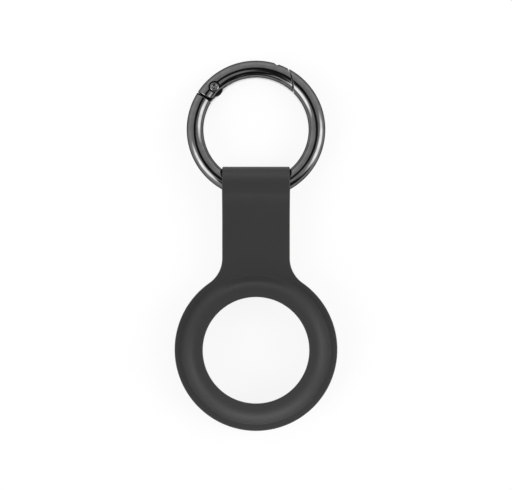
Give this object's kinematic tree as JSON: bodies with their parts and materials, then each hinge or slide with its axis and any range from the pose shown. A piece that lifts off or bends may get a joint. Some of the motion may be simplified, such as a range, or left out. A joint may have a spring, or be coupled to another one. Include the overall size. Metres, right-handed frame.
{
  "type": "tracker tag holder",
  "caption": "Soft silicone holder whose round two-lipped pocket grips a coin-shaped tag, with a strap looped round a metal ring that has a sprung gate.",
  "frame": {"origin": "middle of the outline, on the surface that the part lies on, under its back face", "axes": "+Y from the tag pocket along the strap to the ring, +Z out of the front face, +X to the right seen from the front"},
  "size_m": [0.0384, 0.088, 0.0088],
  "materials": {
    "silicone": "matt moulded silicone, dark grey",
    "black_nickel": "polished black nickel plating on cast zinc",
    "rivet_steel": "black nickel plating on steel",
    "spring_steel": "bright drawn spring wire"
  },
  "bodies": {
    "holder": {"holder_body": "silicone"},
    "ring": {"ring_body": "black_nickel"},
    "gate": {"gate": "black_nickel", "hinge_rivet": "rivet_steel", "gate_spring": "spring_steel"}
  },
  "joints": [
    {"name": "ring_swing", "type": "hinge", "parent": "holder", "child": "ring", "pos_m": [0, 0.01418, 0.0044], "axis": [1, 0, 0], "range_deg": [-155, 165]},
    {"name": "gate_hinge", "type": "hinge", "parent": "ring", "child": "gate", "pos_m": [-0.0099, 0.03739, 0.0024], "axis": [0, -0.086, -0.9963], "range_deg": [0, 40], "stiffness_Nm_per_rad": 0.026, "springref_deg": -26.36, "deforming": ["gate_spring"]}
  ]
}
